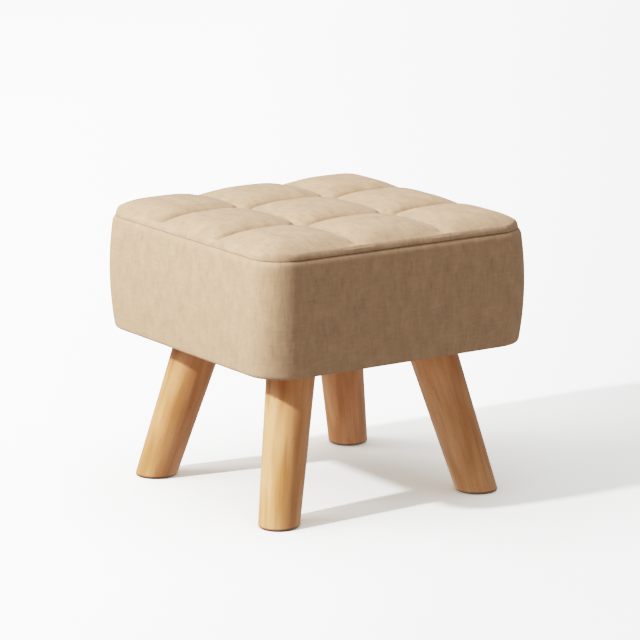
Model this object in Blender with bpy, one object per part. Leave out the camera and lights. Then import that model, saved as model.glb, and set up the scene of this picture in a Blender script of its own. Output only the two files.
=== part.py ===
"""A low square footstool: a padded seat with a quilted top, on four splayed wooden legs.

Metres, +Z up, the floor at z = 0, the seat centred on the Z axis and its front facing -Y.
The seat is two pieces of padded cloth that meet at one seam: the quilted top panel, whose edge
is rolled over and tucked in to the seam, and the side band under it.
"""

import math

import bmesh
import bpy
from mathutils import Matrix, Vector

# Seat
UNDERSIDE_HEIGHT = 0.1484
SEAM_HEIGHT = 0.2583
SEAM_HALF_WIDTH = 0.1484
SEAM_CORNER_RADIUS = 0.0292
PIECE_GAP = 0.0003

# Side band
UNDERSIDE_HALF_WIDTH = 0.1498
UNDERSIDE_CORNER_RADIUS = 0.0364
UNDERSIDE_ROUNDING = 0.0036
SIDE_SWELL = 0.0033
SHOULDER_DEPTH = 0.007
SHOULDER_LEAN = 0.0019
SHOULDER_STEPS = 4
CORNER_STEPS = 5
SIDE_STEPS = 8
BAND_LEVELS = 10
ROUNDING_STEPS = 3

# Quilted top: a middle row of pillows and an outer row on each side of it, both ways
ROWS = 3
PILLOW_PITCH = 0.0987
STEPS_A_PILLOW = 14
GRID_SLACK = 1e-6
PILLOW_RISE = 0.0102
TOP_CROWN = 0.0012
CHANNEL_POWERS = ((3.3, 1.4), (3.9, 0.8))
CHANNEL_DEPTHS = (0.64, 1.0)
EDGE_POWERS = (3.1, 1.0)
PILLOW_CORNER_POWER = 3.9
PILLOW_CORNER_END = 1.45
EDGE_CORNER_END = 1.9
SEAT_CORNER_POWER = 4.6
GROOVE_DEPTH = 0.0022
GROOVE_WIDTH = 0.0034

# Rolled edge of the quilted top, from the ridge down to where it is tucked in at the seam
RIDGE_HEIGHT = 0.0069
ROLL_HALF_WIDTH = 0.1472
ROLL_CORNER_RADIUS = 0.031
ROLL_REACH = 0.0033
ROLL_LEAN = math.radians(62)
ROLL_UPPER_RADIUS = 0.0048
ROLL_LOWER_RADIUS = 0.0096
ROLL_STEPS = 2
TUCK_HEIGHT = 0.0004
TUCK_REACH = 0.0006
SLOPE_STEP = 0.0005
PANEL_HALF_WIDTH = ROLL_HALF_WIDTH - ROLL_REACH
PANEL_CORNER_RADIUS = ROLL_CORNER_RADIUS - ROLL_REACH

# Legs
LEG_TOP_OFFSET = Vector((0.078, 0.078))
LEG_FOOT_OFFSET = Vector((0.114, 0.110))
LEG_TOP_RADIUS = 0.0234
LEG_FOOT_RADIUS = 0.0195
FOOT_ROUNDING = 0.003
FOOT_STEPS = 4
LEG_SEGMENTS = 32
LEG_CORNERS = {
    "leg_front_left": (-1, -1),
    "leg_front_right": (1, -1),
    "leg_back_left": (-1, 1),
    "leg_back_right": (1, 1),
}

CLOTH_COLOUR = (0.52, 0.40, 0.28, 1.0)
CLOTH_ROUGHNESS = 0.9
WOOD_COLOUR = (0.56, 0.34, 0.16, 1.0)
WOOD_ROUGHNESS = 0.45
SMOOTH_ANGLE = math.radians(40)


def make_material(name, colour, roughness):
    material = bpy.data.materials.new(name)
    material.use_nodes = True
    material.diffuse_color = colour
    shader = material.node_tree.nodes["Principled BSDF"]
    shader.inputs["Base Color"].default_value = colour
    shader.inputs["Roughness"].default_value = roughness
    shader.inputs["Metallic"].default_value = 0.0
    return material


def make_object(name, bm, material):
    bmesh.ops.recalc_face_normals(bm, faces=bm.faces)
    mesh = bpy.data.meshes.new(name)
    bm.to_mesh(mesh)
    bm.free()
    mesh.materials.append(material)
    mesh.shade_smooth()
    mesh.set_sharp_from_angle(angle=SMOOTH_ANGLE)
    piece = bpy.data.objects.new(name, mesh)
    bpy.context.scene.collection.objects.link(piece)
    return piece


def draw_ring(bm, points):
    """A closed wire through the points; gives its edges."""
    corners = [bm.verts.new(point) for point in points]
    return [bm.edges.new((a, b)) for a, b in zip(corners, corners[1:] + corners[:1])]


def loft(bm, rings):
    """A closed skin through level rings of points, flat at both ends."""
    wires = [draw_ring(bm, ring) for ring in rings]
    for lower, upper in zip(wires, wires[1:]):
        bmesh.ops.bridge_loops(bm, edges=lower + upper)
    bmesh.ops.holes_fill(bm, edges=wires[0] + wires[-1], sides=0)


def corner_centre(point, half_width, radius):
    """The nearest place to the point in the square that the corner arcs are centred on."""
    core = half_width - radius
    return Vector((max(-core, min(core, point.x)), max(-core, min(core, point.y))))


def onto_rounded_square(point, half_width, radius):
    """Moves a point on a square's rim to the rim of the same square with rounded corners."""
    centre = corner_centre(point, half_width, radius)
    outward = point - centre
    if outward.length == 0:
        return point.copy()
    return centre + radius * outward.normalized()


def square_rim(half_width, radius):
    """Points round a square, set so that the rounded corners get even steps of angle."""
    core = half_width - radius
    angles = [math.pi / 4 * step / CORNER_STEPS for step in range(CORNER_STEPS + 1)]
    corner = [core + radius * math.tan(angle) for angle in angles]
    straight = [core * (2 * step / SIDE_STEPS - 1) for step in range(1, SIDE_STEPS)]
    side = [-along for along in reversed(corner)] + straight + corner[:-1]
    rim = []
    for quarter in range(4):
        turn = Matrix.Rotation(math.pi / 2 * quarter, 2)
        rim += [turn @ Vector((half_width, along)) for along in side]
    return rim


def band_half_width(share):
    """Half-width of the side band at a share of its height: straight taper plus the swell."""
    taper = UNDERSIDE_HALF_WIDTH + (SEAM_HALF_WIDTH - UNDERSIDE_HALF_WIDTH) * share
    return taper + SIDE_SWELL * 4 * share * (1 - share)


def band_corner_radius(share):
    """Corner radius of the band, which tightens upwards."""
    return UNDERSIDE_CORNER_RADIUS + (SEAM_CORNER_RADIUS - UNDERSIDE_CORNER_RADIUS) * share


def band_levels():
    """(height above the underside, how far the wall is drawn in) from the bottom to the seam."""
    height = SEAM_HEIGHT - UNDERSIDE_HEIGHT - PIECE_GAP / 2
    levels = []
    for step in range(ROUNDING_STEPS + 1):
        turn = math.pi / 2 * step / ROUNDING_STEPS
        rise = UNDERSIDE_ROUNDING * (1 - math.cos(turn))
        levels.append((rise, UNDERSIDE_ROUNDING * (1 - math.sin(turn))))
    wall = height - SHOULDER_DEPTH - UNDERSIDE_ROUNDING
    for step in range(1, BAND_LEVELS + 1):
        levels.append((UNDERSIDE_ROUNDING + wall * step / BAND_LEVELS, 0.0))
    for step in range(1, SHOULDER_STEPS + 1):
        share = step / SHOULDER_STEPS
        levels.append((height - SHOULDER_DEPTH * (1 - share), SHOULDER_LEAN * share ** 3))
    return levels


def make_side_band(material):
    full_height = SEAM_HEIGHT - UNDERSIDE_HEIGHT
    rings = []
    for rise, drawn_in in band_levels():
        share = rise / full_height
        half_width = band_half_width(share) - drawn_in
        radius = band_corner_radius(share) - drawn_in
        ring = []
        for point in square_rim(half_width, radius):
            flat = onto_rounded_square(point, half_width, radius)
            ring.append(flat.to_3d() + Vector((0, 0, UNDERSIDE_HEIGHT + rise)))
        rings.append(ring)
    bm = bmesh.new()
    loft(bm, rings)
    return make_object("side_band", bm, material)


def swell(share, powers):
    """A pillow's profile from its middle (0) to its sewn line (1)."""
    roundness, steepness = powers
    return (1 - min(1, abs(share)) ** roundness) ** steepness


def pillow_share(across):
    """(how far from a row's crest, 0, to its sewn line, 1; whether that line is the seat's edge)."""
    half_pitch = PILLOW_PITCH / 2
    from_crest = abs(across) - PILLOW_PITCH if abs(across) > half_pitch else across
    at_edge = abs(across) > PILLOW_PITCH
    reach = PANEL_HALF_WIDTH - PILLOW_PITCH if at_edge else half_pitch
    return min(1, abs(from_crest) / reach), at_edge


def pillow_rise(place):
    """Rise of the pillows, from 0 on the sewn lines to 1 on the crests, with rounded corners."""
    shares, at_edges = zip(*(pillow_share(across) for across in place))
    if all(at_edges):
        rounded = sum(share ** SEAT_CORNER_POWER for share in shares) ** (1 / SEAT_CORNER_POWER)
        return swell(rounded, EDGE_POWERS)
    rise = 1.0
    for share, at_edge, powers, depth in zip(shares, at_edges, CHANNEL_POWERS, CHANNEL_DEPTHS):
        rise *= swell(share, EDGE_POWERS) if at_edge else 1 - depth + depth * swell(share, powers)
    towards_corner = sum(share ** PILLOW_CORNER_POWER for share in shares)
    corner_end = EDGE_CORNER_END if any(at_edges) else PILLOW_CORNER_END
    kept = max(0, min(1, (corner_end - towards_corner) / (corner_end - 1)))
    return rise * kept * kept * (3 - 2 * kept)


def panel_height(place):
    """Height of the quilted panel at a place: crown, pillows and the grooves pulled in by thread."""
    crown = TOP_CROWN
    for across in place:
        crown *= 1 - (across / PANEL_HALF_WIDTH) ** 2
    from_groove = (abs(place.y) - PILLOW_PITCH / 2) / GROOVE_WIDTH
    groove = GROOVE_DEPTH * math.exp(-from_groove ** 2) * (1 - pillow_share(place.x)[0] ** 4)
    return SEAM_HEIGHT + RIDGE_HEIGHT + crown + PILLOW_RISE * pillow_rise(place) - groove


def spaced(across):
    """Moves an even grid line so that the lines crowd towards the channels and the edge."""
    lines = [-PANEL_HALF_WIDTH, -PILLOW_PITCH / 2, PILLOW_PITCH / 2, PANEL_HALF_WIDTH]
    even = (across / PANEL_HALF_WIDTH + 1) / 2 * ROWS
    cell = min(ROWS - 1, int(even + GRID_SLACK))
    share = 2 * (even - cell) - 1
    crowded = share * (3 - share ** 2) / 2
    return lines[cell] + (lines[cell + 1] - lines[cell]) * (crowded + 1) / 2


def place_quilting(bm):
    """Moves the even grid's points to the quilted panel, in rings that follow the outline."""
    for vertex in bm.verts:
        flat = Vector((spaced(vertex.co.x), spaced(vertex.co.y)))
        ring_half_width = max(abs(flat.x), abs(flat.y))
        ring_radius = PANEL_CORNER_RADIUS - (PANEL_HALF_WIDTH - ring_half_width)
        if ring_radius > 0:
            flat = onto_rounded_square(flat, ring_half_width, ring_radius)
        vertex.co = (*flat, panel_height(flat))


def edge_curve(slope, drop):
    """(how far out, how far down) from the ridge to the seam: rounded over, leaning, tucked in."""
    places = [(0.0, 0.0)]
    upper_drop = ROLL_UPPER_RADIUS * (math.cos(slope) - math.cos(ROLL_LEAN))
    lower_drop = ROLL_LOWER_RADIUS * math.cos(ROLL_LEAN)
    straight = max(0, drop - upper_drop - lower_drop) / math.sin(ROLL_LEAN)
    bends = (
        (slope, ROLL_LEAN, ROLL_UPPER_RADIUS * (ROLL_LEAN - slope)),
        (ROLL_LEAN, ROLL_LEAN, straight),
        (ROLL_LEAN, math.pi / 2, ROLL_LOWER_RADIUS * (math.pi / 2 - ROLL_LEAN)),
    )
    for start, end, length in bends:
        for step in range(ROLL_STEPS):
            tilt = start + (end - start) * (step + 0.5) / ROLL_STEPS
            out, down = places[-1]
            out += length / ROLL_STEPS * math.cos(tilt)
            down += length / ROLL_STEPS * math.sin(tilt)
            places.append((out, down))
    widest, lowest = places[-1]
    places = [(out * ROLL_REACH / widest, down * drop / lowest) for out, down in places[1:]]
    places.append((ROLL_REACH - TUCK_REACH, drop + TUCK_HEIGHT - PIECE_GAP / 2))
    return places


def make_quilted_top(material):
    bm = bmesh.new()
    cells = ROWS * STEPS_A_PILLOW
    bmesh.ops.create_grid(bm, x_segments=cells, y_segments=cells, size=PANEL_HALF_WIDTH)
    place_quilting(bm)
    rim_edges = [edge for edge in bm.edges if edge.is_boundary]
    rim = {}
    for vertex in dict.fromkeys(vertex for edge in rim_edges for vertex in edge.verts):
        flat = vertex.co.to_2d()
        outward = (flat - corner_centre(flat, PANEL_HALF_WIDTH, PANEL_CORNER_RADIUS)).normalized()
        inner_height = panel_height(flat - SLOPE_STEP * outward)
        slope = math.atan2(inner_height - vertex.co.z, SLOPE_STEP)
        drop = vertex.co.z - SEAM_HEIGHT - TUCK_HEIGHT
        rim[vertex] = [
            bm.verts.new(vertex.co + (out * outward).to_3d() - Vector((0, 0, down)))
            for out, down in edge_curve(slope, drop)
        ]
    for edge in rim_edges:
        near, far = ([vertex, *rim[vertex]] for vertex in edge.verts)
        for level in range(1, len(near)):
            bm.faces.new((near[level - 1], far[level - 1], far[level], near[level]))
    underneath = [edge for edge in bm.edges if edge.is_boundary]
    bmesh.ops.holes_fill(bm, edges=underneath, sides=0)
    return make_object("quilted_top", bm, material)


def leg_ring(corner, height, drawn_in):
    """A level cut through the splayed leg: an ellipse, longer in the direction of the splay."""
    share = height / UNDERSIDE_HEIGHT
    splay = LEG_FOOT_OFFSET - LEG_TOP_OFFSET
    centre = LEG_FOOT_OFFSET.lerp(LEG_TOP_OFFSET, share)
    radius = LEG_FOOT_RADIUS + (LEG_TOP_RADIUS - LEG_FOOT_RADIUS) * share
    stretch = math.hypot(splay.length, UNDERSIDE_HEIGHT) / UNDERSIDE_HEIGHT
    along = splay.normalized()
    sideways = Vector((-along.y, along.x))
    ring = []
    for segment in range(LEG_SEGMENTS):
        angle = 2 * math.pi * segment / LEG_SEGMENTS
        reach = (radius * stretch - drawn_in) * math.cos(angle)
        width = (radius - drawn_in) * math.sin(angle)
        flat = centre + reach * along + width * sideways
        ring.append(Vector((corner[0] * flat.x, corner[1] * flat.y, height)))
    return ring


def make_leg(name, corner, material):
    rings = []
    for step in range(FOOT_STEPS + 1):
        turn = math.pi / 2 * step / FOOT_STEPS
        height = FOOT_ROUNDING * (1 - math.cos(turn))
        rings.append(leg_ring(corner, height, FOOT_ROUNDING * (1 - math.sin(turn))))
    rings.append(leg_ring(corner, UNDERSIDE_HEIGHT - PIECE_GAP, 0.0))
    bm = bmesh.new()
    loft(bm, rings)
    return make_object(name, bm, material)


for startup_object in list(bpy.data.objects):
    bpy.data.objects.remove(startup_object, do_unlink=True)

cloth = make_material("woven_cloth", CLOTH_COLOUR, CLOTH_ROUGHNESS)
wood = make_material("oiled_wood", WOOD_COLOUR, WOOD_ROUGHNESS)
make_quilted_top(cloth)
make_side_band(cloth)
for leg_name, leg_corner in LEG_CORNERS.items():
    make_leg(leg_name, leg_corner, wood)
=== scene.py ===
import math

import bmesh
import bpy
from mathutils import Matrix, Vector


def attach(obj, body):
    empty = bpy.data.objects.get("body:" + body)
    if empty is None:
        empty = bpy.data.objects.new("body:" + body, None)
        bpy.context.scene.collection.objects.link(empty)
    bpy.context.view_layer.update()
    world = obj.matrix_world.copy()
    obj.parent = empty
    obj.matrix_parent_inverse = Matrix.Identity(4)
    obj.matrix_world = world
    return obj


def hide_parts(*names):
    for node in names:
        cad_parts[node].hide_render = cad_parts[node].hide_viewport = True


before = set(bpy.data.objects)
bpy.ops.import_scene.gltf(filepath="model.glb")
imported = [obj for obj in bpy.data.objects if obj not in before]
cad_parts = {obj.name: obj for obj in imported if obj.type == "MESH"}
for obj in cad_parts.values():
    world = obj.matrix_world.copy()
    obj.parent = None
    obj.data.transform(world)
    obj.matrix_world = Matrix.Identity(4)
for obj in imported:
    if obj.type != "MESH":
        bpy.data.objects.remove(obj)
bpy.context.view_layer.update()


# The camera: a long lens to the front left of the stool and a little above it, at the angle of
# the photograph.
CAMERA_PLACE = Vector((-1.8322, -2.7390, 0.9123))
CAMERA_AIM = Vector((-0.0003, -0.0091, 0.1630))
CAMERA_LENS = 197.86

bpy.ops.object.camera_add(location=CAMERA_PLACE)
camera = bpy.context.object
camera.rotation_euler = (CAMERA_AIM - CAMERA_PLACE).to_track_quat("-Z", "Y").to_euler()
camera.data.lens = CAMERA_LENS
bpy.context.scene.camera = camera


# The light: a small lamp high on the left that throws the crisp shadows, a broad window light from
# behind the left corner, a softbox overhead, and a dim fill that comes mostly up off the floor. A
# film curve turns the lit cloth pale and leaves the shaded side a deeper tan.
LAMP_PLACE = Vector((-3.496, 0.204, 2.604))
LAMP_RADIUS = 0.11
LAMP_POWER = 755.0
WINDOW_DIRECTION = Vector((-0.70, 0.40, 0.59))
WINDOW_SPREAD = math.radians(30)
WINDOW_STRENGTH = 2.67
SOFTBOX_WIDTH = 2.4
SOFTBOX_HEIGHT = 2.6
SOFTBOX_POWER = 20.0
FILL_BELOW = 0.52
FILL_ABOVE = 0.24
FILL_BLEND = 0.5
BACKDROP_BRIGHTNESS = 2.8

bpy.ops.object.light_add(type="POINT", location=LAMP_PLACE)
lamp = bpy.context.object
lamp.data.energy = LAMP_POWER
lamp.data.shadow_soft_size = LAMP_RADIUS

bpy.ops.object.light_add(type="SUN", location=2 * WINDOW_DIRECTION)
window = bpy.context.object
window.rotation_euler = WINDOW_DIRECTION.to_track_quat("Z", "Y").to_euler()
window.data.energy = WINDOW_STRENGTH
window.data.angle = WINDOW_SPREAD

bpy.ops.object.light_add(type="AREA", location=(0, 0, SOFTBOX_HEIGHT))
softbox = bpy.context.object
softbox.data.size = SOFTBOX_WIDTH
softbox.data.energy = SOFTBOX_POWER
for light in (lamp, window, softbox):
    light.visible_camera = False

world = bpy.data.worlds.new("studio")
world.use_nodes = True
nodes = world.node_tree.nodes
links = world.node_tree.links
outward = nodes.new("ShaderNodeTexCoord")
height = nodes.new("ShaderNodeSeparateXYZ")
fill = nodes.new("ShaderNodeMapRange")
fill.interpolation_type = "SMOOTHSTEP"
fill.inputs["From Min"].default_value = -FILL_BLEND
fill.inputs["From Max"].default_value = FILL_BLEND
fill.inputs["To Min"].default_value = FILL_BELOW
fill.inputs["To Max"].default_value = FILL_ABOVE
seen = nodes.new("ShaderNodeLightPath")
strength = nodes.new("ShaderNodeMix")
strength.inputs["B"].default_value = BACKDROP_BRIGHTNESS
links.new(outward.outputs["Generated"], height.inputs["Vector"])
links.new(height.outputs["Z"], fill.inputs["Value"])
links.new(seen.outputs["Is Camera Ray"], strength.inputs["Factor"])
links.new(fill.outputs["Result"], strength.inputs["A"])
links.new(strength.outputs["Result"], nodes["Background"].inputs["Strength"])
nodes["Background"].inputs["Color"].default_value = (1.0, 1.0, 1.0, 1.0)
bpy.context.scene.world = world
bpy.context.scene.view_settings.view_transform = "Filmic"
bpy.context.scene.view_settings.look = "High Contrast"


# The studio floor: a plain white sweep, burnt out by the light. Its colour is painted brighter
# towards the far left and painted darker close round the feet as shade, and a faint glow lifts its
# shadows a little. It throws no light back up; the fill above stands for that. The window is flagged
# off it, so that it gets only a share of that light.
FLOOR_WIDTH = 30.0
FLOOR_BRIGHT = (5.96, 5.96, 5.94, 1.0)
FLOOR_PLAIN = (1.95, 1.95, 1.93, 1.0)
FLOOR_FADE = (1.05, -0.26)
FLOOR_ACROSS = (-0.62, 0.78, 0.0)
FLOOR_WINDOW_SHARE = 0.35
SHADOW_LIFT = (0.175, 0.195, 0.175, 1.0)
FOOT_SHADE_REACH = 0.25
FOOT_SHADE = 0.35

bpy.ops.mesh.primitive_plane_add(size=FLOOR_WIDTH)
floor = bpy.context.object
floor.name = "floor"
floor.visible_diffuse = False
floor.visible_glossy = False
paper = bpy.data.materials.new("white_paper")
paper.use_nodes = True
nodes = paper.node_tree.nodes
links = paper.node_tree.links
nodes.remove(nodes["Principled BSDF"])
place = nodes.new("ShaderNodeTexCoord")
across = nodes.new("ShaderNodeVectorMath")
across.operation = "DOT_PRODUCT"
across.inputs[1].default_value = FLOOR_ACROSS
# Painted light: the floor's colour runs brighter towards the far left.
fade = nodes.new("ShaderNodeMapRange")
fade.inputs["From Min"].default_value = FLOOR_FADE[0]
fade.inputs["From Max"].default_value = FLOOR_FADE[1]
tone = nodes.new("ShaderNodeMix")
tone.data_type = "RGBA"
tone.inputs["A"].default_value = FLOOR_BRIGHT
tone.inputs["B"].default_value = FLOOR_PLAIN
matt = nodes.new("ShaderNodeBsdfDiffuse")
links.new(place.outputs["Object"], across.inputs[0])
links.new(across.outputs["Value"], fade.inputs["Value"])
links.new(fade.outputs["Result"], tone.inputs["Factor"])
# Painted shade: the floor's colour is darkened where the stool is near, close round the feet.
openness = nodes.new("ShaderNodeAmbientOcclusion")
openness.inputs["Distance"].default_value = FOOT_SHADE_REACH
shaded = nodes.new("ShaderNodeMapRange")
shaded.inputs["To Min"].default_value = FOOT_SHADE
toned = nodes.new("ShaderNodeVectorMath")
toned.operation = "SCALE"
links.new(openness.outputs["AO"], shaded.inputs["Value"])
links.new(tone.outputs["Result"], toned.inputs[0])
links.new(shaded.outputs["Result"], toned.inputs["Scale"])
links.new(toned.outputs["Vector"], matt.inputs["Color"])
# A faint glow that lifts the floor's shadows.
lift = nodes.new("ShaderNodeEmission")
lift.inputs["Color"].default_value = SHADOW_LIFT
both = nodes.new("ShaderNodeAddShader")
links.new(matt.outputs["BSDF"], both.inputs[0])
links.new(lift.outputs["Emission"], both.inputs[1])
links.new(both.outputs["Shader"], nodes["Material Output"].inputs["Surface"])
floor.data.materials.append(paper)

window.data.energy *= 1 - FLOOR_WINDOW_SHARE
flagged_off = bpy.data.collections.new("flagged_off_the_floor")
flagged_off.objects.link(floor)
flagged_off.collection_objects[0].light_linking.link_state = "EXCLUDE"
window.light_linking.receiver_collection = flagged_off
bpy.ops.object.light_add(type="SUN", location=2 * WINDOW_DIRECTION)
window_rest = bpy.context.object
window_rest.rotation_euler = window.rotation_euler
window_rest.data.energy = WINDOW_STRENGTH * FLOOR_WINDOW_SHARE
window_rest.data.angle = WINDOW_SPREAD
window_rest.visible_camera = False


# The side band: a strip of oatmeal plain-weave cloth, pulled taut over the foam block, swelling a
# little between the seam and the bottom edge, where it turns under to a flat underside. Near the
# top it leans in to the seam.
UNDERSIDE_HEIGHT = 0.1484
UNDERSIDE_HALF_WIDTH = 0.1498
UNDERSIDE_CORNER_RADIUS = 0.0364
UNDERSIDE_ROUNDING = 0.0036
SEAM_HEIGHT = 0.2583
SEAM_HALF_WIDTH = 0.1484
SEAM_CORNER_RADIUS = 0.0292
SIDE_SWELL = 0.0033
SHOULDER_DEPTH = 0.007
SHOULDER_LEAN = 0.0019
SEWN_EDGE_ROUNDING = 0.0003
PIECE_GAP = 0.0003
CORNER_STEPS = 24
SIDE_STEPS = 60
WALL_STEPS = 44
SHOULDER_STEPS = 12
ROUNDING_STEPS = 6
CAP_INSET = 0.002
CLOTH_COLOUR = (0.5, 0.320, 0.203)
CLOTH_CONTRAST = 0.27
CLOTH_ROUGHNESS = 0.92
CLOTH_GLOSS = 0.15
NAP_SHEEN = 0.1
NAP_ROUGHNESS = 0.5
NAP_TINT = (1.0, 0.92, 0.84, 1.0)
WARP_GRAIN = (0.0040, 0.012)
WEFT_GRAIN = (0.013, 0.0026)
FLECK_GRAIN = (0.0012, 0.0020)
PATCH_GRAIN = (0.012, 0.018)
WARP_SLUB_GRAIN = (0.0024, 0.014)
WEFT_SLUB_GRAIN = (0.014, 0.0022)
SLUB_PEAKS = (0.60, 0.72)
TONE_START = -0.22
THREAD_HEIGHT = 0.0005
THREAD_RELIEF = 0.4


def square_outline(half_width, radius):
    """Points round a square with rounded corners, one side and corner after another."""
    core = half_width - radius
    side = [(2 * core * step / SIDE_STEPS - core, half_width) for step in range(SIDE_STEPS)]
    corner = []
    for step in range(CORNER_STEPS):
        turn = math.pi / 2 * step / CORNER_STEPS
        corner.append((core + radius * math.sin(turn), core + radius * math.cos(turn)))
    points = []
    for cosine, sine in ((1, 0), (0, 1), (-1, 0), (0, -1)):
        points += [(x * cosine + y * sine, y * cosine - x * sine) for x, y in side + corner]
    return points


def band_half_width(share):
    """Half-width of the side band at a share of its height: straight taper plus the swell."""
    taper = UNDERSIDE_HALF_WIDTH + (SEAM_HALF_WIDTH - UNDERSIDE_HALF_WIDTH) * share
    return taper + SIDE_SWELL * 4 * share * (1 - share)


def band_corner_radius(share):
    """Corner radius of the band, which tightens upwards."""
    return UNDERSIDE_CORNER_RADIUS + (SEAM_CORNER_RADIUS - UNDERSIDE_CORNER_RADIUS) * share


def quarter_turn(steps):
    """Angles of a quarter circle in even steps, from none to a right angle."""
    return [math.pi / 2 * step / steps for step in range(steps + 1)]


def band_levels():
    """(height above the underside, how far drawn in) from the bottom to the seam."""
    height = SEAM_HEIGHT - UNDERSIDE_HEIGHT - PIECE_GAP / 2
    levels = [(0.0, UNDERSIDE_ROUNDING + CAP_INSET)]
    for turn in quarter_turn(ROUNDING_STEPS):
        rise = UNDERSIDE_ROUNDING * (1 - math.cos(turn))
        levels.append((rise, UNDERSIDE_ROUNDING * (1 - math.sin(turn))))
    wall = height - SHOULDER_DEPTH - UNDERSIDE_ROUNDING
    for step in range(1, WALL_STEPS):
        levels.append((UNDERSIDE_ROUNDING + wall * step / WALL_STEPS, 0.0))
    for step in range(SHOULDER_STEPS):
        depth = SHOULDER_DEPTH + (SEWN_EDGE_ROUNDING - SHOULDER_DEPTH) * step / SHOULDER_STEPS
        levels.append((height - depth, SHOULDER_LEAN * (1 - depth / SHOULDER_DEPTH) ** 3))
    for turn in quarter_turn(ROUNDING_STEPS):
        rise = height - SEWN_EDGE_ROUNDING * (1 - math.sin(turn))
        levels.append((rise, SHOULDER_LEAN + SEWN_EDGE_ROUNDING * (1 - math.cos(turn))))
    levels.append((height, SHOULDER_LEAN + SEWN_EDGE_ROUNDING + CAP_INSET))
    return levels


rings = []
for rise, drawn_in in band_levels():
    share = rise / (SEAM_HEIGHT - UNDERSIDE_HEIGHT)
    outline = square_outline(band_half_width(share) - drawn_in, band_corner_radius(share) - drawn_in)
    rings.append([Vector((x, y, UNDERSIDE_HEIGHT + rise)) for x, y in outline])
girth = [0.0]
middle = rings[len(rings) // 2]
for here, beyond in zip(middle, middle[1:] + middle[:1]):
    girth.append(girth[-1] + (beyond - here).length)
climb = [0.0]
for lower, upper in zip(rings, rings[1:]):
    climb.append(climb[-1] + (upper[0] - lower[0]).length)

bm = bmesh.new()
weave = bm.loops.layers.uv.new("weave")
points = [[bm.verts.new(point) for point in ring] for ring in rings]
for level in range(len(rings) - 1):
    for step in range(len(middle)):
        beyond = (step + 1) % len(middle)
        lower = (points[level][beyond], points[level][step])
        upper = (points[level + 1][step], points[level + 1][beyond])
        face = bm.faces.new(lower + upper)
        places = ((step + 1, level), (step, level), (step, level + 1), (step + 1, level + 1))
        for loop, (u, v) in zip(face.loops, places):
            loop[weave].uv = (girth[u], climb[v])
for cap in (points[0], points[-1]):
    face = bm.faces.new(cap)
    for loop in face.loops:
        loop[weave].uv = loop.vert.co.to_2d()
bmesh.ops.recalc_face_normals(bm, faces=bm.faces)
mesh = bpy.data.meshes.new("band")
bm.to_mesh(mesh)
bm.free()
mesh.shade_smooth()
band = bpy.data.objects.new("band", mesh)
bpy.context.scene.collection.objects.link(band)


def woven_cloth(name, colour, contrast):
    """Oatmeal plain weave read from the piece's own weave map: threads, patches and slubs."""
    cloth = bpy.data.materials.new(name)
    cloth.use_nodes = True
    nodes = cloth.node_tree.nodes
    links = cloth.node_tree.links
    shader = nodes["Principled BSDF"]
    shader.inputs["Roughness"].default_value = CLOTH_ROUGHNESS
    shader.inputs["Specular IOR Level"].default_value = CLOTH_GLOSS
    shader.inputs["Sheen Weight"].default_value = NAP_SHEEN
    shader.inputs["Sheen Roughness"].default_value = NAP_ROUGHNESS
    shader.inputs["Sheen Tint"].default_value = NAP_TINT
    weave_map = nodes.new("ShaderNodeUVMap")
    weave_map.uv_map = "weave"

    def streaks(grain, detail):
        """Noise drawn out into threads: its grain across and along the weave map in metres."""
        across, along = grain
        stretch = nodes.new("ShaderNodeMapping")
        stretch.inputs["Scale"].default_value = (1 / across, 1 / along, 1)
        links.new(weave_map.outputs["UV"], stretch.inputs["Vector"])
        noise = nodes.new("ShaderNodeTexNoise")
        noise.inputs["Scale"].default_value = 1.0
        noise.inputs["Detail"].default_value = detail
        links.new(stretch.outputs["Vector"], noise.inputs["Vector"])
        return noise.outputs["Fac"]

    def slubs(grain):
        """A few thicker threads: only the peaks of the noise, from 0 to 1."""
        peaks = nodes.new("ShaderNodeMapRange")
        peaks.inputs["From Min"].default_value = SLUB_PEAKS[0]
        peaks.inputs["From Max"].default_value = SLUB_PEAKS[1]
        links.new(streaks(grain, 1.0), peaks.inputs["Value"])
        return peaks.outputs["Result"]

    def mixed(start, *terms):
        """Adds each value times its weight to the start."""
        total = start
        for value, weight in terms:
            step = nodes.new("ShaderNodeMath")
            step.operation = "MULTIPLY_ADD"
            links.new(value, step.inputs[0])
            step.inputs[1].default_value = weight
            if isinstance(total, float):
                step.inputs[2].default_value = total
            else:
                links.new(total, step.inputs[2])
            total = step.outputs[0]
        return total

    warp = streaks(WARP_GRAIN, 1.0)
    weft = streaks(WEFT_GRAIN, 1.0)
    fleck = streaks(FLECK_GRAIN, 1.0)
    patch = streaks(PATCH_GRAIN, 2.0)
    warp_slubs = slubs(WARP_SLUB_GRAIN)
    weft_slubs = slubs(WEFT_SLUB_GRAIN)
    threads = ((warp, 0.38), (weft, 0.30), (fleck, 0.08), (patch, 0.62))
    thick_threads = ((warp_slubs, -0.16), (weft_slubs, -0.08))
    tone = mixed(TONE_START, *threads, *thick_threads)
    shade = nodes.new("ShaderNodeMix")
    shade.data_type = "RGBA"
    shade.inputs["A"].default_value = (*((1 - contrast) * c for c in colour), 1)
    shade.inputs["B"].default_value = (*((1 + contrast) * c for c in colour), 1)
    links.new(tone, shade.inputs["Factor"])
    links.new(shade.outputs["Result"], shader.inputs["Base Color"])

    relief = mixed(0.0, (warp, 1.0), (weft, 0.6), (fleck, 0.4), (warp_slubs, 0.4))
    bump = nodes.new("ShaderNodeBump")
    bump.inputs["Strength"].default_value = THREAD_RELIEF
    bump.inputs["Distance"].default_value = THREAD_HEIGHT
    links.new(relief, bump.inputs["Height"])
    links.new(bump.outputs["Normal"], shader.inputs["Normal"])
    return cloth


band.data.materials.append(woven_cloth("oatmeal_cloth_band", CLOTH_COLOUR, CLOTH_CONTRAST))
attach(band, "root")
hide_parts("side_band")


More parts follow.
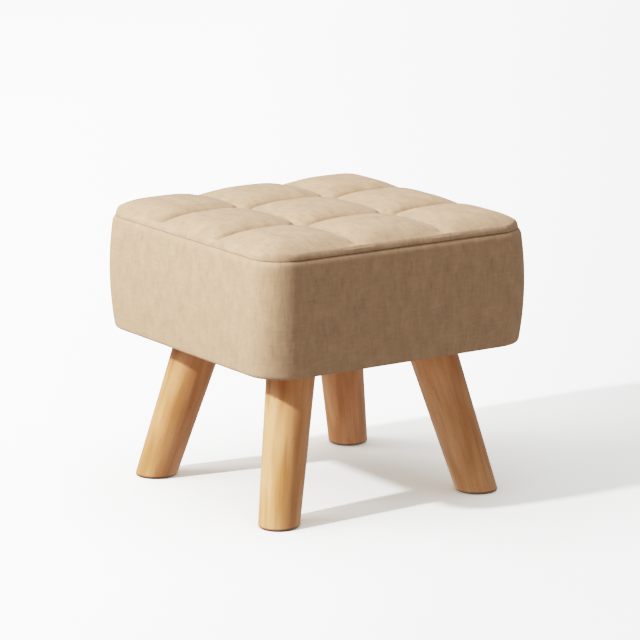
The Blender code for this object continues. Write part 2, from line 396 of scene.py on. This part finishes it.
# The quilted top: a square of the same cloth over wadding, stitched through in two lines each way
# to make nine pillows. Its edge rolls over in one smooth curve from a straight ridge down to the
# seam, where it is tucked in and sewn to the band.
ROWS = 3
PILLOW_PITCH = 0.0987
STEPS_A_PILLOW = 60
GRID_SLACK = 1e-6
CROWDING = 0.85
PILLOW_RISE = 0.0102
TOP_CROWN = 0.0012
CHANNEL_POWERS = ((3.3, 1.4), (3.9, 0.8))
CHANNEL_DEPTHS = (0.64, 1.0)
EDGE_POWERS = (3.1, 1.0)
PILLOW_CORNER_POWER = 3.9
PILLOW_CORNER_END = 1.45
EDGE_CORNER_END = 1.9
SEAT_CORNER_POWER = 4.6
GROOVE_DEPTH = 0.0022
GROOVE_WIDTH = 0.0034
RIDGE_HEIGHT = 0.0069
ROLL_HALF_WIDTH = 0.1472
ROLL_CORNER_RADIUS = 0.031
ROLL_REACH = 0.0033
ROLL_LEAN = math.radians(62)
ROLL_UPPER_RADIUS = 0.0048
ROLL_LOWER_RADIUS = 0.0096
ROLL_STEPS = 6
TUCK_HEIGHT = 0.0004
TUCK_REACH = 0.0006
TUCK_STEPS = 5
PANEL_HALF_WIDTH = ROLL_HALF_WIDTH - ROLL_REACH
PANEL_CORNER_RADIUS = ROLL_CORNER_RADIUS - ROLL_REACH
# The top's cloth is painted a little lighter and paler than the band's, standing in for the light
# falling on the top.
TOP_COLOUR_PAINTED_LIGHTER = (0.511, 0.333, 0.216)
TOP_CONTRAST = 0.33


def swell(share, powers):
    """A pillow's profile from its middle (0) to its sewn line (1)."""
    roundness, steepness = powers
    return (1 - min(1, abs(share)) ** roundness) ** steepness


def pillow_share(across):
    """(how far from a row's crest, 0, to its sewn line, 1; whether that line is the seat's edge)."""
    half_pitch = PILLOW_PITCH / 2
    from_crest = abs(across) - PILLOW_PITCH if abs(across) > half_pitch else across
    at_edge = abs(across) > PILLOW_PITCH
    reach = PANEL_HALF_WIDTH - PILLOW_PITCH if at_edge else half_pitch
    return min(1, abs(from_crest) / reach), at_edge


def pillow_rise(place):
    """Rise of the pillows, from 0 on the sewn lines to 1 on the crests, with rounded corners."""
    shares, at_edges = zip(*(pillow_share(across) for across in place))
    if all(at_edges):
        rounded = sum(share ** SEAT_CORNER_POWER for share in shares) ** (1 / SEAT_CORNER_POWER)
        return swell(rounded, EDGE_POWERS)
    rise = 1.0
    ways = zip(shares, at_edges, CHANNEL_POWERS, CHANNEL_DEPTHS)
    for share, at_edge, channel_powers, depth in ways:
        if at_edge:
            rise *= swell(share, EDGE_POWERS)
        else:
            rise *= 1 - depth + depth * swell(share, channel_powers)
    towards_corner = sum(share ** PILLOW_CORNER_POWER for share in shares)
    corner_end = EDGE_CORNER_END if any(at_edges) else PILLOW_CORNER_END
    kept = max(0, min(1, (corner_end - towards_corner) / (corner_end - 1)))
    return rise * kept * kept * (3 - 2 * kept)


def panel_height(place):
    """Height of the quilted panel at a place: crown, pillows and the grooves pulled in by thread."""
    crown = TOP_CROWN
    for across in place:
        crown *= 1 - (across / PANEL_HALF_WIDTH) ** 2
    from_groove = (abs(place.y) - PILLOW_PITCH / 2) / GROOVE_WIDTH
    groove = GROOVE_DEPTH * math.exp(-from_groove ** 2) * (1 - pillow_share(place.x)[0] ** 4)
    return SEAM_HEIGHT + RIDGE_HEIGHT + crown + PILLOW_RISE * pillow_rise(place) - groove


def spaced(across):
    """Moves an even grid line so that the lines crowd towards the channels and the edge."""
    lines = [-PANEL_HALF_WIDTH, -PILLOW_PITCH / 2, PILLOW_PITCH / 2, PANEL_HALF_WIDTH]
    even = (across / PANEL_HALF_WIDTH + 1) / 2 * ROWS
    cell = min(ROWS - 1, int(even + GRID_SLACK))
    share = 2 * (even - cell) - 1
    crowded = share + CROWDING * (share * (3 - share ** 2) / 2 - share)
    return lines[cell] + (lines[cell + 1] - lines[cell]) * (crowded + 1) / 2


def from_core(place, half_width, radius):
    """(the corner arcs' nearest centre, direction away from it) for a place on the panel."""
    core = half_width - radius
    centre = Vector((max(-core, min(core, place.x)), max(-core, min(core, place.y))))
    return centre, (place - centre).normalized()


bm = bmesh.new()
cells = ROWS * STEPS_A_PILLOW
bmesh.ops.create_grid(bm, x_segments=cells, y_segments=cells, size=PANEL_HALF_WIDTH)
for vertex in bm.verts:
    cut_place = Vector((spaced(vertex.co.x), spaced(vertex.co.y)))
    sewn_place = cut_place
    ring_half_width = max(abs(cut_place.x), abs(cut_place.y))
    ring_radius = PANEL_CORNER_RADIUS - (PANEL_HALF_WIDTH - ring_half_width)
    if ring_radius > 0:
        centre, outward = from_core(cut_place, ring_half_width, ring_radius)
        sewn_place = centre + ring_radius * outward
    vertex.co = (*sewn_place, panel_height(sewn_place))
cloth_place = {vertex: vertex.co.to_2d() for vertex in bm.verts}
rim_edges = [edge for edge in bm.edges if edge.is_boundary]
rim = list(dict.fromkeys(vertex for edge in rim_edges for vertex in edge.verts))
slopes = {}
for vertex in rim:
    inner = [other for face in vertex.link_faces for other in face.verts if not other.is_boundary]
    nearest = min(inner, key=lambda other: (other.co - vertex.co).length)
    run = (nearest.co - vertex.co).to_2d().length
    slopes[vertex] = math.atan2(nearest.co.z - vertex.co.z, run)


def edge_curve(slope, drop):
    """(how far out, how far down) from the ridge to the seam: rounded over, leaning, tucked in."""
    places = [(0.0, 0.0)]
    upper_drop = ROLL_UPPER_RADIUS * (math.cos(slope) - math.cos(ROLL_LEAN))
    lower_drop = ROLL_LOWER_RADIUS * math.cos(ROLL_LEAN)
    straight = max(0, drop - upper_drop - lower_drop) / math.sin(ROLL_LEAN)
    bends = (
        (slope, ROLL_LEAN, ROLL_UPPER_RADIUS * (ROLL_LEAN - slope)),
        (ROLL_LEAN, ROLL_LEAN, straight),
        (ROLL_LEAN, math.pi / 2, ROLL_LOWER_RADIUS * (math.pi / 2 - ROLL_LEAN)),
    )
    for start, end, length in bends:
        for step in range(ROLL_STEPS):
            tilt = start + (end - start) * (step + 0.5) / ROLL_STEPS
            out, down = places[-1]
            out += length / ROLL_STEPS * math.cos(tilt)
            down += length / ROLL_STEPS * math.sin(tilt)
            places.append((out, down))
    widest, lowest = places[-1]
    places = [(out * ROLL_REACH / widest, down * drop / lowest) for out, down in places[1:]]
    for step in range(1, TUCK_STEPS + 1):
        turn = math.pi / 2 * step / TUCK_STEPS
        out = ROLL_REACH - TUCK_REACH * (1 - math.cos(turn))
        places.append((out, drop + (TUCK_HEIGHT - PIECE_GAP / 2) * math.sin(turn)))
    places.append((ROLL_REACH - TUCK_REACH - CAP_INSET, places[-1][1]))
    return places


roll_foot = SEAM_HEIGHT + TUCK_HEIGHT
above = {}
curves = {}
outwards = {}
for vertex in rim:
    curves[vertex] = edge_curve(slopes[vertex], vertex.co.z - roll_foot)
    outwards[vertex] = from_core(vertex.co.to_2d(), PANEL_HALF_WIDTH, PANEL_CORNER_RADIUS)[1]
    above[vertex] = vertex
for level in range(len(curves[rim[0]])):
    below = {}
    for vertex in rim:
        out, down = curves[vertex][level]
        place = vertex.co + (out * outwards[vertex]).to_3d() - Vector((0, 0, down))
        travelled = (place - above[vertex].co).length
        below[vertex] = bm.verts.new(place)
        cloth_place[below[vertex]] = cloth_place[above[vertex]] + travelled * outwards[vertex]
    for edge in rim_edges:
        near, far = edge.verts
        bm.faces.new((above[near], above[far], below[far], below[near]))
    above = below
underneath = [edge for edge in bm.edges if edge.is_boundary]
bmesh.ops.holes_fill(bm, edges=underneath, sides=0)
bmesh.ops.recalc_face_normals(bm, faces=bm.faces)
weave = bm.loops.layers.uv.new("weave")
for face in bm.faces:
    for loop in face.loops:
        loop[weave].uv = cloth_place[loop.vert]
mesh = bpy.data.meshes.new("top")
bm.to_mesh(mesh)
bm.free()
mesh.shade_smooth()
top = bpy.data.objects.new("top", mesh)
bpy.context.scene.collection.objects.link(top)
top.data.materials.append(woven_cloth("oatmeal_cloth_top", TOP_COLOUR_PAINTED_LIGHTER, TOP_CONTRAST))
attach(top, "root")
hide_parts("quilted_top")


# The legs: four round tapered legs, turned from light wood, set out at a splay and sawn level at
# both ends, with the edge of the foot rounded over and a satin oil finish.
LEG_TOP_OFFSET = Vector((0.078, 0.078, UNDERSIDE_HEIGHT))
LEG_FOOT_OFFSET = Vector((0.114, 0.110, 0.0))
LEG_TOP_RADIUS = 0.0234
LEG_FOOT_RADIUS = 0.0195
LEG_SEGMENTS = 96
SAWN_OFF = 0.02
FOOT_ROUNDING = 0.003
FOOT_STEPS = 5
BAND_GRAIN = (0.012, 0.07)
BAND_SPREAD = (0.35, 0.62)
FINE_GRAIN = (0.0022, 0.05)
FINE_SPREAD = (0.3, 0.7)
FINE_TINTS = ((0.93, 0.91, 0.88), (1.05, 1.05, 1.05))
STREAK_GRAIN = (0.0040, 0.07)
STREAK_SPREAD = (0.58, 0.74)
STREAK_COVER = 0.35
PORE_GRAIN = (0.0011, 0.006)
PORE_SPREAD = (0.76, 0.82)
PORE_COVER = 0.5
PALE_SHARE = 1.10
GOLDEN_SHARES = (0.84, 0.76, 0.62)
DARK_SHARE = 0.55
# Painted shade: the bottom few millimetres of each foot are darkened towards the floor, standing in
# for the shade under the rounded edge.
PAINTED_FOOT_SHADE_HEIGHTS = (0.0012, 0.0034)
PAINTED_FOOT_SHADE_COLOUR = (0.035, 0.02, 0.012)
PAINTED_FOOT_SHADE_COVER = 0.95
OIL_GLOSS = 0.5
OIL_ROUGHNESS = (0.46, 0.36)
GRAIN_RELIEF = 0.25
GRAIN_DEPTH = 0.0002
GRAIN_SHIFT = (0.3, 0.2)
SMOOTH_ANGLE = math.radians(40)
# Each leg has its own colour, darker for the back legs and darkest for the back right one.
LEG_NODES = {
    "leg_front_left": (-1, -1, (0.75, 0.36, 0.172)),
    "leg_front_right": (1, -1, (0.72, 0.352, 0.174)),
    "leg_back_left": (-1, 1, (0.69, 0.320, 0.156)),
    "leg_back_right": (1, 1, (0.65, 0.290, 0.138)),
}


def oiled_wood(name, colour):
    """Light wood read from the grain running along each leg: soft bands, fine grain and pores."""
    wood = bpy.data.materials.new(name)
    wood.use_nodes = True
    nodes = wood.node_tree.nodes
    links = wood.node_tree.links
    shader = nodes["Principled BSDF"]
    shader.inputs["Specular IOR Level"].default_value = OIL_GLOSS
    grain = nodes.new("ShaderNodeAttribute")
    grain.attribute_name = "grain"

    def grain_noise(size, detail):
        """Noise drawn out along the leg: its size across and along the leg in metres."""
        across, along = size
        stretch = nodes.new("ShaderNodeMapping")
        stretch.inputs["Scale"].default_value = (1 / across, 1 / across, 1 / along)
        links.new(grain.outputs["Vector"], stretch.inputs["Vector"])
        noise = nodes.new("ShaderNodeTexNoise")
        noise.inputs["Scale"].default_value = 1.0
        noise.inputs["Detail"].default_value = detail
        links.new(stretch.outputs["Vector"], noise.inputs["Vector"])
        return noise.outputs["Fac"]

    def ranged(value, low, high, at_low, at_high):
        """Spreads a value's range from low to high over at_low to at_high."""
        spread = nodes.new("ShaderNodeMapRange")
        spread.inputs["From Min"].default_value = low
        spread.inputs["From Max"].default_value = high
        spread.inputs["To Min"].default_value = at_low
        spread.inputs["To Max"].default_value = at_high
        links.new(value, spread.inputs["Value"])
        return spread.outputs["Result"]

    def blended(factor, first, second):
        """Mixes two colours, each either given or an output."""
        blend = nodes.new("ShaderNodeMix")
        blend.data_type = "RGBA"
        links.new(factor, blend.inputs["Factor"])
        for socket, shade in (("A", first), ("B", second)):
            if isinstance(shade, tuple):
                blend.inputs[socket].default_value = (*shade, 1)
            else:
                links.new(shade, blend.inputs[socket])
        return blend.outputs["Result"]

    bands = ranged(grain_noise(BAND_GRAIN, 1.0), *BAND_SPREAD, 0, 1)
    fine = ranged(grain_noise(FINE_GRAIN, 2.0), *FINE_SPREAD, 0, 1)
    streak = ranged(grain_noise(STREAK_GRAIN, 1.0), *STREAK_SPREAD, 0, STREAK_COVER)
    pores = ranged(grain_noise(PORE_GRAIN, 0.0), *PORE_SPREAD, 0, PORE_COVER)
    pale = tuple(PALE_SHARE * c for c in colour)
    golden = tuple(share * c for share, c in zip(GOLDEN_SHARES, colour))
    dark = tuple(DARK_SHARE * c for c in colour)
    body = blended(bands, golden, pale)
    lined = nodes.new("ShaderNodeMix")
    lined.data_type = "RGBA"
    lined.blend_type = "MULTIPLY"
    lined.inputs["Factor"].default_value = 1.0
    links.new(body, lined.inputs["A"])
    links.new(blended(fine, *FINE_TINTS), lined.inputs["B"])
    streaked = blended(streak, lined.outputs["Result"], dark)
    pored = blended(pores, streaked, dark)
    place = nodes.new("ShaderNodeTexCoord")
    height = nodes.new("ShaderNodeSeparateXYZ")
    links.new(place.outputs["Object"], height.inputs["Vector"])
    # Painted shade: darkens the leg's colour over its lowest few millimetres, where the foot meets
    # the floor.
    painted_foot_shade = ranged(height.outputs["Z"], *PAINTED_FOOT_SHADE_HEIGHTS, PAINTED_FOOT_SHADE_COVER, 0.0)
    links.new(blended(painted_foot_shade, pored, PAINTED_FOOT_SHADE_COLOUR), shader.inputs["Base Color"])
    links.new(ranged(fine, 0, 1, *OIL_ROUGHNESS), shader.inputs["Roughness"])
    bump = nodes.new("ShaderNodeBump")
    bump.inputs["Strength"].default_value = GRAIN_RELIEF
    bump.inputs["Distance"].default_value = GRAIN_DEPTH
    links.new(fine, bump.inputs["Height"])
    links.new(bump.outputs["Normal"], shader.inputs["Normal"])
    return wood


for node, (side, end, colour) in LEG_NODES.items():
    leg_top = Vector((side * LEG_TOP_OFFSET.x, end * LEG_TOP_OFFSET.y, LEG_TOP_OFFSET.z))
    leg_foot = Vector((side * LEG_FOOT_OFFSET.x, end * LEG_FOOT_OFFSET.y, 0.0))
    axis = leg_top - leg_foot
    widening = (LEG_TOP_RADIUS - LEG_FOOT_RADIUS) / axis.length
    bpy.ops.object.select_all(action="DESELECT")
    bpy.ops.mesh.primitive_cone_add(
        vertices=LEG_SEGMENTS,
        radius1=LEG_FOOT_RADIUS - widening * SAWN_OFF,
        radius2=LEG_TOP_RADIUS + widening * SAWN_OFF,
        depth=axis.length + 2 * SAWN_OFF,
        location=(leg_top + leg_foot) / 2,
        rotation=axis.to_track_quat("Z", "Y").to_euler(),
    )
    leg = bpy.context.object
    leg.name = node.replace("leg_", "turned_leg_")
    bpy.ops.object.transform_apply(location=True, rotation=True, scale=True)
    bpy.ops.object.mode_set(mode="EDIT")
    bpy.ops.mesh.select_all(action="SELECT")
    bpy.ops.mesh.bisect(plane_co=(0, 0, 0), plane_no=(0, 0, 1), use_fill=True, clear_inner=True)
    sawn_top = (0, 0, UNDERSIDE_HEIGHT - PIECE_GAP)
    bpy.ops.mesh.select_all(action="SELECT")
    bpy.ops.mesh.bisect(plane_co=sawn_top, plane_no=(0, 0, 1), use_fill=True, clear_outer=True)
    bpy.ops.mesh.select_all(action="DESELECT")
    bm = bmesh.from_edit_mesh(leg.data)
    for edge in bm.edges:
        edge.select = all(abs(vertex.co.z) < GRID_SLACK for vertex in edge.verts)
    bm.select_flush(True)
    bpy.ops.mesh.bevel(offset=FOOT_ROUNDING, segments=FOOT_STEPS, affect="EDGES")
    bpy.ops.object.mode_set(mode="OBJECT")
    bpy.ops.object.shade_smooth_by_angle(angle=SMOOTH_ANGLE)
    axis.normalize()
    grain = leg.data.attributes.new("grain", "FLOAT_VECTOR", "POINT")
    for vertex, value in zip(leg.data.vertices, grain.data):
        from_foot = vertex.co - leg_foot
        along = from_foot.dot(axis)
        across = from_foot - along * axis
        shift = (GRAIN_SHIFT[0] * side, GRAIN_SHIFT[1] * end)
        value.vector = (across.x + shift[0], across.y + shift[1], along)
    leg.data.materials.append(oiled_wood(f"oiled_wood_{node}", colour))
    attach(leg, "root")
    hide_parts(node)
